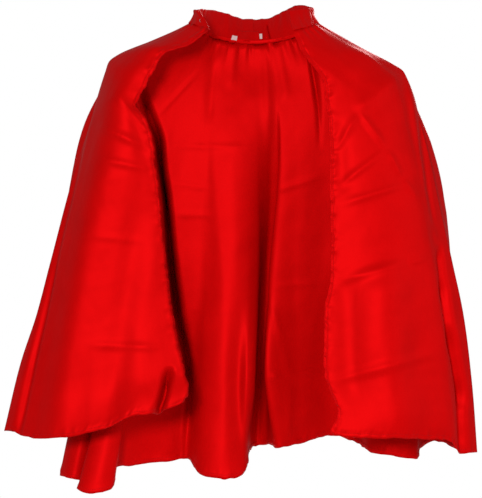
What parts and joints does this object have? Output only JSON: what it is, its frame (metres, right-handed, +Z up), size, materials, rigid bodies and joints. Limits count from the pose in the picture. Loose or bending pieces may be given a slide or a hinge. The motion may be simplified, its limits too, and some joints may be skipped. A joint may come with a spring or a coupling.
{
  "type": "dress-up cape",
  "caption": "Waist-length gathered satin cape with a stand-up collar, hanging open at the front from its neckline.",
  "frame": {"origin": "middle of the neck opening, level with the neckline seam at the back", "axes": "+Z up, -Y towards the open front, +X towards the wearer's left side"},
  "size_m": [0.7315, 0.2191, 0.7464],
  "materials": {
    "satin": "woven polyester satin, glossy side out",
    "satin_lining": "the same satin, glossy side in",
    "interfacing": "stiff non-woven",
    "binding": "overlocked seam strip",
    "thread": "matching polyester thread",
    "label_tape": "blank woven tape with pale folded ends",
    "wire": "nickel-plated wire"
  },
  "bodies": {
    "root": {"back_panel": "satin", "back_hem_stitching": "thread", "left_front_shoulder": "satin", "right_front_shoulder": "satin", "left_shoulder_edge_stitching": "thread", "right_shoulder_edge_stitching": "thread", "collar_facing": "satin_lining", "collar_interfacing": "interfacing", "collar_outer": "satin", "neckline_binding": "binding"},
    "right_front": {"right_front_drape": "satin", "right_front_edge_stitching": "thread", "right_front_hem_stitching": "thread"},
    "left_front": {"left_front_drape": "satin", "left_front_edge_stitching": "thread", "left_front_hem_stitching": "thread"},
    "right_collar_end": {"right_collar_end_facing": "satin_lining", "right_collar_end_interfacing": "interfacing", "right_collar_end_outer": "satin", "wire_eye": "wire"},
    "left_collar_end": {"left_collar_end_facing": "satin_lining", "left_collar_end_interfacing": "interfacing", "left_collar_end_outer": "satin", "wire_hook": "wire"},
    "neck_label": {"neck_label": "label_tape"}
  },
  "joints": [
    {"name": "right_front_swing", "type": "hinge", "parent": "root", "child": "right_front", "pos_m": [-0.22707, 0, -0.03514], "axis": [-0.2703, 0, -0.9628], "range_deg": [-3, 85]},
    {"name": "left_front_swing", "type": "hinge", "parent": "root", "child": "left_front", "pos_m": [0.24656, 0, -0.04629], "axis": [-0.1961, 0, 0.9806], "range_deg": [-3, 85]},
    {"name": "right_collar_end_fold", "type": "hinge", "parent": "root", "child": "right_collar_end", "pos_m": [-0.09254, -0.02586, 0.01799], "axis": [0.5561, -0.8028, -0.215], "range_deg": [-2, 60], "stiffness_Nm_per_rad": 0.04},
    {"name": "left_collar_end_fold", "type": "hinge", "parent": "root", "child": "left_collar_end", "pos_m": [0.088, -0.03023, 0.01662], "axis": [0.6325, 0.7421, 0.222], "range_deg": [-2, 60], "stiffness_Nm_per_rad": 0.04},
    {"name": "neck_label_flip", "type": "hinge", "parent": "root", "child": "neck_label", "pos_m": [-0.01012, 0.05712, 0.00076], "axis": [0.9969, 0.063, -0.0465], "range_deg": [0, 160]}
  ]
}
